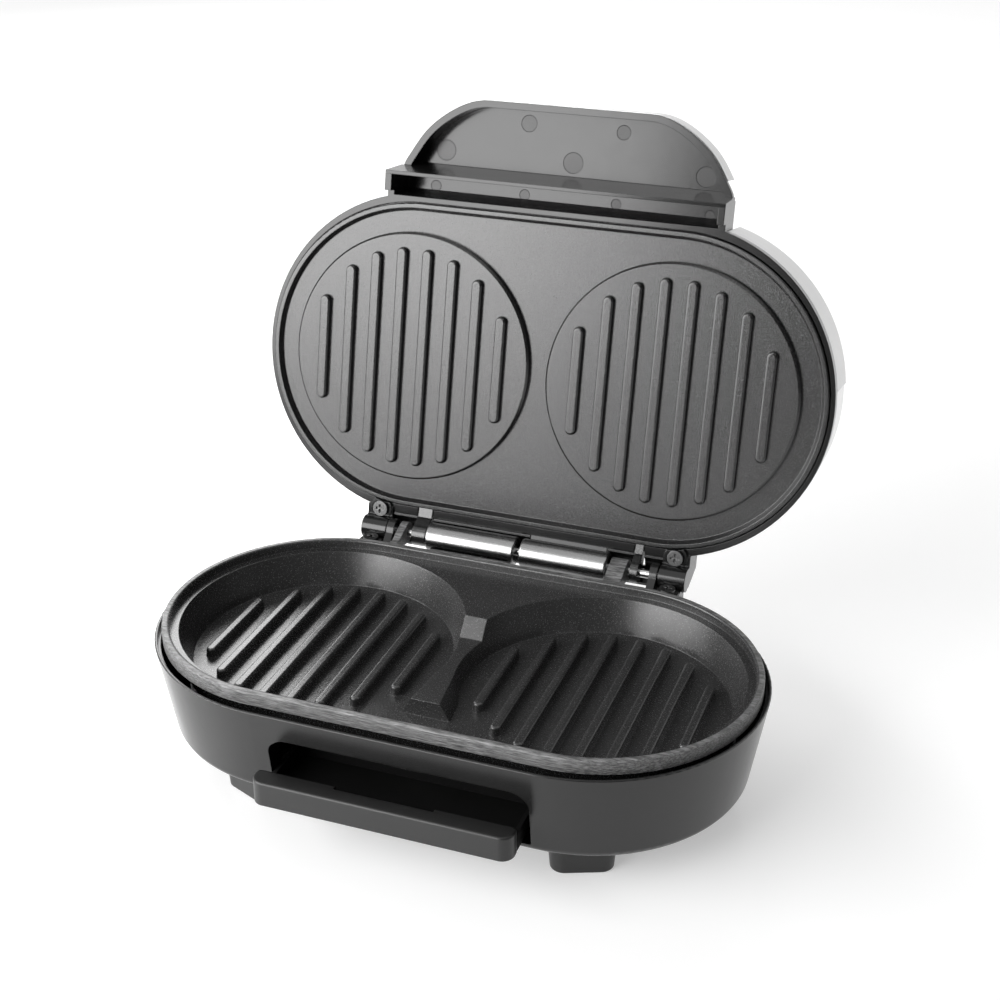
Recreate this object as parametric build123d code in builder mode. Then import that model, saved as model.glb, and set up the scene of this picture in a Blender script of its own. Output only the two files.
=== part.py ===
from build123d import *
from math import cos, radians, sin
import os

# Electric burger maker: two round griddles side by side under one hinged lid.
# Millimetres. +X is to the user's right, +Y to the back, +Z up, table top at z = 0.
# Every piece is drawn round the middle of the griddles with the lid shut, then moved:
# base pieces by STAND, lid pieces by STAND and the opening swing of the lid.

os.makedirs("parts", exist_ok=True)

# Stand and lid swing
griddle_y = -34.7
hinge_y = 80.7
hinge_z = 59.5
lid_angle = 101.9
STAND = Location((0, griddle_y, 0))
LID_OPEN = STAND * Location((0, hinge_y, hinge_z), (-lid_angle, 0, 0)) * Location((0, -hinge_y, -hinge_z))

# Griddle plates
bowl_x = 60.0
plate_radius = 66.6
upper_end_x = 59.0
upper_plate_radius = 68.7
plate_wall = 2.8
rib_pitch = 12.05

# Lower plate heights, from the table
bowl_floor = 42.6
deck_top = 57.1
rim_top = 61.0
skirt_bottom = 55.2
bowl_floor_radius = 55.0
bowl_top_radius = 59.9
rim_inner_radius = 63.5
saddle_top = 50.0
saddle_back = 17.0
saddle_slope_end = 23.6
web_front = -33.3
lower_rib_height = 4.0
lower_rib_width = 4.6
lower_rib_halves = (23.7, 36.9, 44.5, 47.9)
spout_drop = 9.0

# Upper plate heights, lid shut
disc_face = 61.0
upper_plate_face = 64.0
upper_plate_back = 66.6
ridge_bottom = 61.4
ridge_inner = 66.8
ridge_root = 65.4
disc_radius = 56.0
upper_rib_height = 2.5
upper_rib_width = 5.2
upper_rib_halves = (24.0, 38.8, 46.0, 49.2)

# Base housing
base_end_x = 57.3
base_top_radius = 72.3
base_bottom_radius = 65.8
base_bottom = 15.5
base_top = 55.6
base_wall = 2.0
base_lip_inner = 71.1
base_lip_bottom = 53.2
base_floor = 2.5
base_cover_radius = 57.7
base_cover_thickness = 2.5
cover_inside = base_bottom + base_cover_thickness

# Cord bushing in the back wall
cord_x = 30.0
cord_z = 29.0
bushing_radius = 5.0

# Grip recess and drip tray, each a little to the right of the middle
grip_x = 1.0
recess_x = 2.35
recess_half = 53.65
recess_bottom = 19.1
recess_top = 43.2
recess_back = -61.8
recess_corner = 6.0
recess_edge = 2.0
recess_wall = 1.8
slot_top = 28.2
slot_middle_top = 30.6
slot_middle_half = 20.5
bar_length_half = 53.3
tray_bar_front = -84.7
tray_bar_back = -76.0
tray_bar_middle_back = -78.4
tray_bar_bottom = 23.4
tray_bar_top = 33.8
tray_half = 51.5
tray_front = -78.0
tray_back = -44.0
tray_bottom = 19.6
tray_top = 27.4
tray_wall = 1.6

# Lid shell
lid_end_x = 57.1
lid_radius = 73.0
lid_rim_bottom = 63.0
lid_rim_top = 67.5
lid_rim_inner = 69.2
cover_bottom = 67.8
cover_wall = 2.0
lid_top = 97.0
cover_seam = -9.0

# Lid handle
handle_half = 76.0
handle_front = -115.0
handle_top = 92.0
handle_rim = 77.0
handle_floor = 88.0
hollow_inset = 3.4
lip_top = 78.8
lip_inset = 0.3
cover_low = lip_top + 0.3
bar_front = -82.1
bar_back = -80.5
bar_ramp_top = -84.7
bar_half = 76.0
bar_bottom = 59.0
bar_crown = 57.6
channel_roof = 79.0
channel_back = -73.7
channel_half = 73.0

# Hinge
pin_radius = 2.0
running_gap = 0.06
barrel_radius = 6.5
ear_screw_x = 70.1
ear_screw_y = 71.8
skirt_inner = 7.3
skirt_outer = 9.2
skirt_half = 66.0
skirt_start = 38.0
skirt_sweep = 114.0
skirt_web_top = 67.4

# Heating
element_radius = 3.2
element_ring = 38.0

SIDES = (-1, 1)


def capsule(end_x, radius):
    """Outline of two half circles joined by straight front and back edges."""
    SlotCenterToCenter(2 * end_x, 2 * radius)


def capsule_block(end_x, radius, low, high, mode=Mode.ADD):
    """Upright block with a capsule outline."""
    with BuildSketch(Plane.XY.offset(low)) as outline:
        capsule(end_x, radius)
    extrude(outline.sketch, amount=high - low, mode=mode)


def profile_along_x(points, x_from, x_to, mode=Mode.ADD):
    """Prism along X from an outline given as (y, z) points."""
    with BuildSketch(Plane.YZ.offset(x_from)) as outline:
        with BuildLine():
            Polyline(*points, close=True)
        make_face()
    extrude(outline.sketch, amount=x_to - x_from, mode=mode)


def rod_along_x(y, z, radius, x_from, x_to, mode=Mode.ADD):
    """Round bar along X."""
    with BuildSketch(Plane.YZ.offset(x_from)) as outline:
        with Locations((y, z)):
            Circle(radius)
    extrude(outline.sketch, amount=x_to - x_from, mode=mode)


def upright_bars(places, radius, low, high, mode=Mode.ADD):
    """Round upright pillars or holes at (x, y) places."""
    with BuildSketch(Plane.XY.offset(low)) as outline:
        with Locations(*places):
            Circle(radius)
    extrude(outline.sketch, amount=high - low, mode=mode)


def rib_slots(halves, width, grow=0.0):
    """Rounded rib outlines of both griddles, long ribs in the middle of each."""
    for side in SIDES:
        for index, half in enumerate(halves):
            for hand in SIDES:
                x = side * bowl_x + hand * rib_pitch * (3.5 - index)
                with Locations((x, 0)):
                    SlotOverall(2 * (half + grow), width, rotation=90)


def cross_screw(head_radius, head_height, shank_radius, shank_length):
    """Pan-head screw with a cross recess. Its local origin is under the head, the head up."""
    Cylinder(head_radius, head_height, align=(Align.CENTER, Align.CENTER, Align.MIN))
    Cylinder(shank_radius, shank_length, align=(Align.CENTER, Align.CENTER, Align.MAX))


def cross_recess(head_radius, head_height):
    """Cross recess of a screw head."""
    slot = head_radius * 1.15
    depth = head_height * 0.6
    with Locations((0, 0, head_height - depth)):
        Box(slot, slot * 0.24, depth + 1, align=(Align.CENTER, Align.CENTER, Align.MIN), mode=Mode.SUBTRACT)
        Box(slot * 0.24, slot, depth + 1, align=(Align.CENTER, Align.CENTER, Align.MIN), mode=Mode.SUBTRACT)


def place_screws(locations, head_radius, head_height, shank_radius, shank_length):
    """Row of equal screws at locations, with rounded head edges."""
    with Locations(*locations):
        cross_screw(head_radius, head_height, shank_radius, shank_length)
    with Locations(*locations):
        cross_recess(head_radius, head_height)


def both_sides(x, y):
    """The same place on the left and on the right."""
    return [(side * x, y) for side in SIDES]


# Lower griddle plate: two bowls, deck, raised rim, dividing web, drain slot, hinge lugs
drain_x = 0.0
drain_y = -49.0
pillar_places = both_sides(109.0, 0.0) + both_sides(14.0, 50.0)
clamp_places = both_sides(34.0, 0.0) + both_sides(86.0, 0.0)

with BuildPart() as lower_plate:
    capsule_block(bowl_x, plate_radius, skirt_bottom, deck_top)
    capsule_block(bowl_x, plate_radius, deck_top, rim_top)
    capsule_block(bowl_x, plate_radius - 2.6, skirt_bottom - 1, skirt_bottom + 0.3, mode=Mode.SUBTRACT)
    with Locations(*[(side * bowl_x, 0, bowl_floor - plate_wall) for side in SIDES]):
        Cone(
            bowl_floor_radius + plate_wall,
            bowl_top_radius + plate_wall,
            deck_top - bowl_floor + plate_wall,
            align=(Align.CENTER, Align.CENTER, Align.MIN),
        )
    profile_along_x(
        [
            (-bowl_floor_radius - plate_wall, bowl_floor - plate_wall),
            (-bowl_top_radius - plate_wall, deck_top),
            (web_front + plate_wall, deck_top),
            (web_front + plate_wall, bowl_floor - plate_wall),
        ],
        -bowl_x,
        bowl_x,
    )
    profile_along_x(
        [
            (web_front, saddle_top - plate_wall),
            (web_front, deck_top),
            (saddle_slope_end + plate_wall, deck_top),
            (saddle_slope_end + plate_wall, deck_top - plate_wall),
            (saddle_back + plate_wall, saddle_top - plate_wall),
        ],
        -9.0,
        9.0,
    )
    profile_along_x(
        [
            (web_front, bowl_floor - plate_wall),
            (web_front, saddle_top - 1),
            (-12.0, saddle_top - 1),
            (-12.0, bowl_floor - plate_wall),
        ],
        -14.0,
        14.0,
    )
    capsule_block(bowl_x, rim_inner_radius, deck_top, rim_top, mode=Mode.SUBTRACT)
    with Locations(*[(side * bowl_x, 0, bowl_floor) for side in SIDES]):
        Cone(
            bowl_floor_radius,
            bowl_top_radius,
            deck_top - bowl_floor,
            align=(Align.CENTER, Align.CENTER, Align.MIN),
            mode=Mode.SUBTRACT,
        )
    profile_along_x(
        [
            (-bowl_floor_radius, bowl_floor),
            (-bowl_top_radius, deck_top),
            (web_front, deck_top),
            (web_front, bowl_floor),
        ],
        -bowl_x,
        bowl_x,
        mode=Mode.SUBTRACT,
    )
    profile_along_x(
        [
            (web_front - 1, saddle_top),
            (saddle_back, saddle_top),
            (saddle_slope_end, deck_top),
            (saddle_slope_end, rim_top),
            (web_front - 1, rim_top),
        ],
        -14.0,
        14.0,
        mode=Mode.SUBTRACT,
    )
    # Sloping sides at the front end of the dividing web
    for side in SIDES:
        with BuildSketch(Plane.XY.offset(saddle_top)):
            with BuildLine():
                Polyline(
                    (side * 2.7, -2.0),
                    (side * 7.7, -48.0),
                    (side * 22.0, -48.0),
                    (side * 22.0, -2.0),
                    close=True,
                )
            make_face()
        extrude(amount=-(saddle_top - bowl_floor), taper=30, mode=Mode.SUBTRACT)
    # Ribs
    with BuildSketch(Plane.XY.offset(bowl_floor - 0.5)):
        rib_slots(lower_rib_halves, lower_rib_width)
    extrude(amount=lower_rib_height + 0.5, taper=4)
    rib_tops = lower_plate.faces().filter_by(Plane.XY).filter_by_position(
        Axis.Z, bowl_floor + lower_rib_height - 0.1, bowl_floor + lower_rib_height + 0.1
    )
    fillet(rib_tops.edges(), 1.1)
    # Rim edges
    rim_face = lower_plate.faces().filter_by(Plane.XY).sort_by(Axis.Z)[-1]
    fillet(rim_face.edges(), 0.8)
    # Drain slot with its spout over the tray
    with BuildSketch(Plane.XY.offset(bowl_floor - plate_wall - spout_drop)):
        with Locations((drain_x, drain_y)):
            SlotOverall(20.0, 9.0)
    extrude(amount=spout_drop + 0.2)
    with BuildSketch(Plane.XY.offset(bowl_floor - plate_wall - spout_drop - 1)):
        with Locations((drain_x, drain_y)):
            SlotOverall(16.0, 5.0)
    extrude(amount=spout_drop + 5, mode=Mode.SUBTRACT)
    # Screw bosses under the plate
    upright_bars(both_sides(109.0, 0.0), 4.0, 33.0, bowl_floor - 1)
    upright_bars(both_sides(14.0, 50.0), 4.0, 33.0, deck_top - 1)
    upright_bars(clamp_places, 3.6, 33.4, bowl_floor - 1)
    upright_bars(pillar_places, 1.55, 32.0, bowl_floor - 2.2, mode=Mode.SUBTRACT)
    upright_bars(clamp_places, 1.55, 32.0, bowl_floor - 2.2, mode=Mode.SUBTRACT)
    # Hinge lugs: a thin one on the left, a wide one on the right
    lug_side = [
        (66.0, 55.6),
        (66.0, 60.2),
        (70.0, 60.6),
        (75.4, 63.0),
        (80.7, 64.3),
        (80.7, 54.9),
        (75.0, 55.4),
    ]
    for x_from, x_to in ((-58.3, -54.9), (42.3, 49.9)):
        profile_along_x(lug_side, x_from, x_to)
        rod_along_x(hinge_y, hinge_z, 4.9, x_from, x_to)
        rod_along_x(hinge_y, hinge_z, pin_radius + running_gap, x_from - 1, x_to + 1, mode=Mode.SUBTRACT)
lower_plate.part.move(STAND)
lower_plate.part.label = "lower_plate"
export_step(lower_plate.part, "parts/lower_plate.step")

# Inside of the base housing, with the walls of the grip recess left standing
with BuildPart() as base_cavity:
    with BuildSketch(Plane.XY.offset(base_bottom + base_floor)):
        capsule(base_end_x, base_bottom_radius - base_wall)
    with BuildSketch(Plane.XY.offset(base_top + 1)):
        capsule(base_end_x, base_top_radius - base_wall + 0.1)
    loft()
    with BuildSketch(Plane.XZ.offset(-recess_back - recess_wall)) as recess_box:
        with Locations((recess_x, (recess_top + recess_bottom) / 2)):
            Rectangle(2 * (recess_half + recess_wall), recess_top - recess_bottom + 2 * recess_wall)
    extrude(recess_box.sketch, amount=30.0, mode=Mode.SUBTRACT)

# Plane just inside the leaning front wall, round the mouth of the recess
wall_lean = (base_top_radius - base_bottom_radius) / (base_top - base_bottom)
mouth_z = (recess_top + recess_bottom + recess_edge) / 2
mouth_y = recess_edge - base_bottom_radius - wall_lean * (mouth_z - base_bottom)
mouth_plane = Plane(origin=(recess_x, mouth_y, mouth_z), x_dir=(1, 0, 0), z_dir=(0, -1, -wall_lean))

# Base housing: open-topped shell with grip recess, tray slot and hinge ears
with BuildPart() as base_housing:
    with BuildSketch(Plane.XY.offset(base_bottom)):
        capsule(base_end_x, base_bottom_radius)
    with BuildSketch(Plane.XY.offset(base_top)):
        capsule(base_end_x, base_top_radius)
    loft()
    bottom_face = base_housing.faces().filter_by(Plane.XY).sort_by(Axis.Z)[0]
    fillet(bottom_face.edges(), 4.0)
    top_face = base_housing.faces().filter_by(Plane.XY).sort_by(Axis.Z)[-1]
    fillet(top_face.edges(), 0.4)
    # Grip recess with a soft edge
    with BuildSketch(Plane.XZ.offset(-recess_back)) as recess_mouth:
        with Locations((recess_x, (recess_top + recess_bottom) / 2)):
            RectangleRounded(2 * recess_half, recess_top - recess_bottom, recess_corner)
        with Locations((recess_x, recess_bottom + recess_corner / 2)):
            Rectangle(2 * recess_half, recess_corner)
    extrude(recess_mouth.sketch, amount=20.0, mode=Mode.SUBTRACT)
    with BuildSketch(mouth_plane) as recess_flare:
        RectangleRounded(2 * (recess_half - recess_edge), recess_top - recess_bottom - recess_edge, recess_corner)
    extrude(recess_flare.sketch, amount=recess_edge + 1.5, taper=-40, mode=Mode.SUBTRACT)
    add(base_cavity.part, mode=Mode.SUBTRACT)
    capsule_block(base_end_x, base_lip_inner, base_lip_bottom, base_top + 1, mode=Mode.SUBTRACT)
    seat_low = base_bottom - 1
    seat_high = base_bottom + base_floor + 1
    capsule_block(base_end_x, base_cover_radius + 0.3, seat_low, seat_high, mode=Mode.SUBTRACT)
    # Slot that the tray slides through, higher in the middle
    with BuildSketch(Plane.XZ.offset(-recess_back - recess_wall - 1)) as tray_slot:
        with Locations((grip_x, (slot_top + recess_bottom) / 2)):
            Rectangle(2 * (tray_half + 0.6), slot_top - recess_bottom)
        with Locations((grip_x, slot_middle_top - 3)):
            Rectangle(2 * slot_middle_half, 6.0)
    extrude(tray_slot.sketch, amount=10.0, mode=Mode.SUBTRACT)
    # Hinge ears with their screw pillars
    upright_bars(both_sides(ear_screw_x, ear_screw_y), 5.2, 34.0, 57.6)
    for side in SIDES:
        low_x, high_x = sorted((side * 60.5, side * 75.4))
        profile_along_x(
            [(68.6, 36.0), (68.6, 54.8), (73.0, 57.0), (80.7, 57.0), (80.7, 50.0), (74.0, 42.0)],
            low_x,
            high_x,
        )
        low_x, high_x = sorted((side * 60.5, side * 64.0))
        profile_along_x([(70.0, 50.0), (70.0, 56.5), (80.7, 65.0), (84.0, 55.0)], low_x, high_x)
        rod_along_x(hinge_y, hinge_z, 5.5, low_x, high_x)
        low_x, high_x = sorted((side * 64.1, side * 80.0))
        rod_along_x(hinge_y, hinge_z, 5.7, low_x, high_x, mode=Mode.SUBTRACT)
    rod_along_x(hinge_y, hinge_z, pin_radius + running_gap, -66.0, 66.0, mode=Mode.SUBTRACT)
    upright_bars(both_sides(ear_screw_x, ear_screw_y), 1.55, 45.0, 60.0, mode=Mode.SUBTRACT)
    # Hole of the cord bushing in the back wall
    with BuildSketch(Plane.XZ.offset(-60.0)):
        with Locations((cord_x, cord_z)):
            Circle(bushing_radius + 0.05)
    extrude(amount=-12.0, mode=Mode.SUBTRACT)
base_housing.part.move(STAND)
base_housing.part.label = "base_housing"
export_step(base_housing.part, "parts/base_housing.step")

# Cover screwed into the bottom of the housing, with vent slots
foot_front_x = 69.0
foot_front_y = -43.9
foot_back_x = 52.0
foot_back_y = 49.8
foot_places = both_sides(foot_back_x, foot_back_y) + both_sides(foot_front_x, foot_front_y)
with BuildPart() as base_cover:
    capsule_block(base_end_x, base_cover_radius, base_bottom, base_bottom + base_cover_thickness)
    with BuildSketch(Plane.XY.offset(base_bottom - 1)):
        with GridLocations(9.0, 30.0, 13, 1):
            SlotOverall(26.0, 3.4, rotation=90)
    extrude(amount=6, mode=Mode.SUBTRACT)
    upright_bars(pillar_places, 4.2, base_bottom + 1, 32.9)
    upright_bars(pillar_places, 1.75, base_bottom - 1, 40.0, mode=Mode.SUBTRACT)
    upright_bars(pillar_places, 3.2, base_bottom - 1, base_bottom + 4, mode=Mode.SUBTRACT)
    upright_bars(foot_places, 1.55, base_bottom - 1, base_bottom + 4, mode=Mode.SUBTRACT)
base_cover.part.move(STAND)
base_cover.part.label = "base_cover"
export_step(base_cover.part, "parts/base_cover.step")

# Screws from below through the cover pillars into the lower plate
with BuildPart() as lower_plate_screws:
    place_screws([Location((x, y, base_bottom + 4), (180, 0, 0)) for x, y in pillar_places], 2.9, 1.8, 1.5, 19.5)
lower_plate_screws.part.move(STAND)
lower_plate_screws.part.label = "lower_plate_screws"
export_step(lower_plate_screws.part, "parts/lower_plate_screws.step")

# Feet: tapered blocks, the front ones on the slant of the rounded ends, each with a rubber pad
foot_height = base_bottom
foot_size_x = 27.0
foot_size_y = 22.5
foot_taper = 2.0
foot_bottom = 0.4
foot_slant = 22.5
pad_radius = 7.8
pad_height = 1.6


def foot_shape(place):
    """One foot, wider at the top, with rounded corners and a hole for its screw."""
    with BuildPart() as foot:
        with BuildSketch(Plane.XY.offset(foot_bottom)):
            RectangleRounded(foot_size_x - foot_taper, foot_size_y - foot_taper, 5.5)
        with BuildSketch(Plane.XY.offset(foot_height)):
            RectangleRounded(foot_size_x, foot_size_y, 6.0)
        loft()
        low_face = foot.faces().filter_by(Plane.XY).sort_by(Axis.Z)[0]
        fillet(low_face.edges(), 0.8)
        with BuildSketch(Plane.XY) as pad_seat:
            Circle(pad_radius + 0.1)
        extrude(pad_seat.sketch, amount=pad_height, mode=Mode.SUBTRACT)
        with Locations((0, 0, 5.0)):
            Cylinder(1.55, foot_height, align=(Align.CENTER, Align.CENTER, Align.MIN), mode=Mode.SUBTRACT)
    return foot.part.moved(place)


with BuildPart() as foot_front_left:
    add(foot_shape(Location((-foot_front_x, foot_front_y, 0), (0, 0, -foot_slant))))
foot_front_left.part.move(STAND)
foot_front_left.part.label = "foot_front_left"
export_step(foot_front_left.part, "parts/foot_front_left.step")

with BuildPart() as foot_front_right:
    add(foot_shape(Location((foot_front_x, foot_front_y, 0), (0, 0, foot_slant))))
foot_front_right.part.move(STAND)
foot_front_right.part.label = "foot_front_right"
export_step(foot_front_right.part, "parts/foot_front_right.step")

with BuildPart() as foot_back_left:
    add(foot_shape(Location((-foot_back_x, foot_back_y, 0))))
foot_back_left.part.move(STAND)
foot_back_left.part.label = "foot_back_left"
export_step(foot_back_left.part, "parts/foot_back_left.step")

with BuildPart() as foot_back_right:
    add(foot_shape(Location((foot_back_x, foot_back_y, 0))))
foot_back_right.part.move(STAND)
foot_back_right.part.label = "foot_back_right"
export_step(foot_back_right.part, "parts/foot_back_right.step")

with BuildPart() as foot_pads:
    upright_bars(foot_places, pad_radius, 0.0, pad_height)
    fillet(foot_pads.faces().filter_by(Plane.XY).group_by(Axis.Z)[0].edges(), 0.5)
foot_pads.part.move(STAND)
foot_pads.part.label = "foot_pads"
export_step(foot_pads.part, "parts/foot_pads.step")

# Drip tray that slides out to the front by its bar
with BuildPart() as drip_tray:
    with BuildSketch(Plane.XY.offset(tray_bar_bottom)) as bar_outline:
        with Locations((grip_x, (tray_bar_front + tray_bar_back) / 2)):
            Rectangle(2 * bar_length_half, tray_bar_back - tray_bar_front)
    extrude(bar_outline.sketch, amount=tray_bar_top - tray_bar_bottom)
    bar_corners = drip_tray.edges().filter_by(Axis.Z)
    fillet(bar_corners.group_by(Axis.Y)[0], 5.0)
    bar_corners = drip_tray.edges().filter_by(Axis.Z)
    fillet(bar_corners.group_by(Axis.Y)[-1], 2.0)
    fillet(drip_tray.edges().group_by(Axis.Z)[-1], 0.9)
    with BuildSketch(Plane.XY.offset(tray_bottom)) as tray_outline:
        with Locations((grip_x, (tray_front + tray_back) / 2)):
            RectangleRounded(2 * tray_half, tray_back - tray_front, 3.5)
    extrude(tray_outline.sketch, amount=tray_top - tray_bottom)
    with BuildSketch(Plane.XY.offset(tray_bottom + tray_wall)) as tray_hollow:
        with Locations((grip_x, (tray_bar_back + tray_back) / 2)):
            RectangleRounded(2 * (tray_half - tray_wall), tray_back - tray_bar_back - 2 * tray_wall, 2.5)
    extrude(tray_hollow.sketch, amount=20, mode=Mode.SUBTRACT)
    with BuildSketch(Plane.XY.offset(tray_top)) as bar_notch:
        with Locations((grip_x, (tray_bar_middle_back + tray_bar_back) / 2 + 1)):
            Rectangle(2 * slot_middle_half, tray_bar_back - tray_bar_middle_back + 2)
    extrude(bar_notch.sketch, amount=20, mode=Mode.SUBTRACT)
drip_tray.part.move(STAND)
drip_tray.part.label = "drip_tray"
export_step(drip_tray.part, "parts/drip_tray.step")

# Guide channel under the tray, resting on the cover
guide_floor = cover_inside + 0.05
guide_top = tray_bottom - 0.35
guide_side_top = 25.0
guide_front = -57.0
guide_back = -42.0
guide_stop = -43.5
guide_inner = tray_half + 0.6
guide_outer = guide_inner + 2.0
with BuildPart() as tray_guide:
    plate_side = [
        (guide_front, guide_floor),
        (guide_front, guide_top),
        (guide_back, guide_top),
        (guide_back, guide_floor),
    ]
    profile_along_x(plate_side, grip_x - guide_outer, grip_x + guide_outer)
    rail_side = [
        (guide_front, guide_floor),
        (guide_front, guide_side_top),
        (guide_back, guide_side_top),
        (guide_back, guide_floor),
    ]
    profile_along_x(rail_side, grip_x - guide_outer, grip_x - guide_inner)
    profile_along_x(rail_side, grip_x + guide_inner, grip_x + guide_outer)
    stop_side = [
        (guide_stop, guide_floor),
        (guide_stop, guide_side_top),
        (guide_back, guide_side_top),
        (guide_back, guide_floor),
    ]
    profile_along_x(stop_side, grip_x - guide_outer, grip_x + guide_outer)
tray_guide.part.move(STAND)
tray_guide.part.label = "tray_guide"
export_step(tray_guide.part, "parts/tray_guide.step")

# Heat shield under the lower elements
with BuildPart() as lower_heat_shield:
    capsule_block(bowl_x, 57.0, 29.0, 32.0)
    capsule_block(bowl_x, 56.2, 29.8, 33.0, mode=Mode.SUBTRACT)
    with BuildSketch(Plane.XY.offset(28.0)):
        with Locations((0, -60.0)):
            Rectangle(300.0, 39.0)
    extrude(amount=10, mode=Mode.SUBTRACT)
    upright_bars(pillar_places, 4.5, 28.0, 34.0, mode=Mode.SUBTRACT)
lower_heat_shield.part.move(STAND)
lower_heat_shield.part.label = "lower_heat_shield"
export_step(lower_heat_shield.part, "parts/lower_heat_shield.step")


def ring_element(centre_x, height):
    """Open ring of tube with a thin connecting pin at each end."""
    with BuildPart() as element:
        with BuildLine() as path:
            ring = CenterArc((centre_x, 0, height), element_ring, 118, 304)
            Line(ring @ 0, (ring @ 0) - (ring % 0) * 9)
            Line(ring @ 1, (ring @ 1) + (ring % 1) * 9)
        route = path.wire()
        with BuildSketch(Plane(origin=route @ 0, z_dir=route % 0)) as tube:
            Circle(element_radius)
        sweep(tube.sketch, path=route)
        for end, way in ((route @ 0, -1 * (route % 0)), (route @ 1, route % 1)):
            with BuildSketch(Plane(origin=end - way * 2, z_dir=way)) as pin:
                Circle(1.1)
            extrude(pin.sketch, amount=9.0)
    return element.part


lower_element_height = bowl_floor - plate_wall - element_radius - 0.1
with BuildPart() as lower_left_element:
    add(ring_element(-bowl_x, lower_element_height))
lower_left_element.part.move(STAND)
lower_left_element.part.label = "lower_left_element"
export_step(lower_left_element.part, "parts/lower_left_element.step")

with BuildPart() as lower_right_element:
    add(ring_element(bowl_x, lower_element_height))
lower_right_element.part.move(STAND)
lower_right_element.part.label = "lower_right_element"
export_step(lower_right_element.part, "parts/lower_right_element.step")

# Screws from inside the cover into the feet
with BuildPart() as foot_screws:
    place_screws([Location((x, y, cover_inside)) for x, y in foot_places], 3.0, 1.7, 1.5, 10.0)
foot_screws.part.move(STAND)
foot_screws.part.label = "foot_screws"
export_step(foot_screws.part, "parts/foot_screws.step")

# Straps that hold the lower elements, and their screws
strap_height = 1.2
lower_strap_z = lower_element_height - element_radius - strap_height - 0.05
with BuildPart() as lower_element_straps:
    with BuildSketch(Plane.XY.offset(lower_strap_z)):
        for side in SIDES:
            with Locations((side * 28.5, 0), (side * 91.5, 0)):
                RectangleRounded(19.0, 10.0, 2.0)
    extrude(amount=strap_height)
    upright_bars(clamp_places, 1.65, 20.0, 40.0, mode=Mode.SUBTRACT)
lower_element_straps.part.move(STAND)
lower_element_straps.part.label = "lower_element_straps"
export_step(lower_element_straps.part, "parts/lower_element_straps.step")

with BuildPart() as lower_strap_screws:
    place_screws([Location((x, y, lower_strap_z), (180, 0, 0)) for x, y in clamp_places], 2.7, 1.4, 1.5, 7.0)
lower_strap_screws.part.move(STAND)
lower_strap_screws.part.label = "lower_strap_screws"
export_step(lower_strap_screws.part, "parts/lower_strap_screws.step")

# Thermostat and its bracket under the deck between the bowls
thermostat_y = 42.0
with BuildPart() as thermostat_bracket:
    with BuildSketch(Plane.XY.offset(skirt_bottom + 0.3 - 1.2)):
        with Locations((0, thermostat_y + 4)):
            Rectangle(10.0, 22.0)
    extrude(amount=1.2)
thermostat_bracket.part.move(STAND)
thermostat_bracket.part.label = "thermostat_bracket"
export_step(thermostat_bracket.part, "parts/thermostat_bracket.step")

with BuildPart() as thermostat:
    upright_bars([(0, thermostat_y)], 6.6, 47.6, skirt_bottom + 0.3 - 1.3)
    upright_bars([(0, thermostat_y)], 7.2, 44.0, 47.6)
    for side in SIDES:
        with BuildSketch(Plane.XY.offset(38.5)):
            with Locations((side * 4.0, thermostat_y)):
                Rectangle(0.9, 4.4)
        extrude(amount=6.5)
thermostat.part.move(STAND)
thermostat.part.label = "thermostat"
export_step(thermostat.part, "parts/thermostat.step")

# Thermal fuse beside it
with BuildPart() as thermal_fuse:
    rod_along_x(56.0, 50.0, 2.2, -6.5, 6.5)
    rod_along_x(56.0, 50.0, 0.5, -9.0, 9.0)
thermal_fuse.part.move(STAND)
thermal_fuse.part.label = "thermal_fuse"
export_step(thermal_fuse.part, "parts/thermal_fuse.step")

# Terminal block on the cover
terminal_x = 33.5
terminal_y = 42.0
terminal_height = 9.5
terminal_places = [(terminal_x + step, terminal_y) for step in (-10.0, 0.0, 10.0)]
with BuildPart() as terminal_block:
    with BuildSketch(Plane.XY.offset(cover_inside)):
        with Locations((terminal_x, terminal_y)):
            RectangleRounded(30.0, 13.0, 1.5)
    extrude(amount=terminal_height)
    upright_bars(terminal_places, 2.2, cover_inside + 4.5, cover_inside + 15, mode=Mode.SUBTRACT)
terminal_block.part.move(STAND)
terminal_block.part.label = "terminal_block"
export_step(terminal_block.part, "parts/terminal_block.step")

with BuildPart() as terminal_screws:
    upright_bars(terminal_places, 2.1, cover_inside + 4.5, cover_inside + 7.5)
    with BuildSketch(Plane.XY.offset(cover_inside + 6.7)):
        with Locations(*terminal_places):
            Rectangle(5.0, 0.7)
    extrude(amount=2, mode=Mode.SUBTRACT)
terminal_screws.part.move(STAND)
terminal_screws.part.label = "terminal_screws"
export_step(terminal_screws.part, "parts/terminal_screws.step")

# Bushing in the back wall where the mains cord comes in
with BuildPart() as cord_bushing:
    with BuildSketch(Plane.XZ.offset(-60.5)):
        with Locations((cord_x, cord_z)):
            Circle(bushing_radius)
    extrude(amount=-11.5)
    with BuildSketch(Plane.XZ.offset(-69.3)):
        with Locations((cord_x, cord_z)):
            Circle(7.5)
    extrude(amount=-2.7)
    fillet(cord_bushing.faces().sort_by(Axis.Y)[-1].edges(), 0.9)
    with BuildSketch(Plane.XZ.offset(-58.0)):
        with Locations((cord_x, cord_z)):
            Circle(3.4)
    extrude(amount=-20.0, mode=Mode.SUBTRACT)
cord_bushing.part.move(STAND)
cord_bushing.part.label = "cord_bushing"
export_step(cord_bushing.part, "parts/cord_bushing.step")


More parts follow.
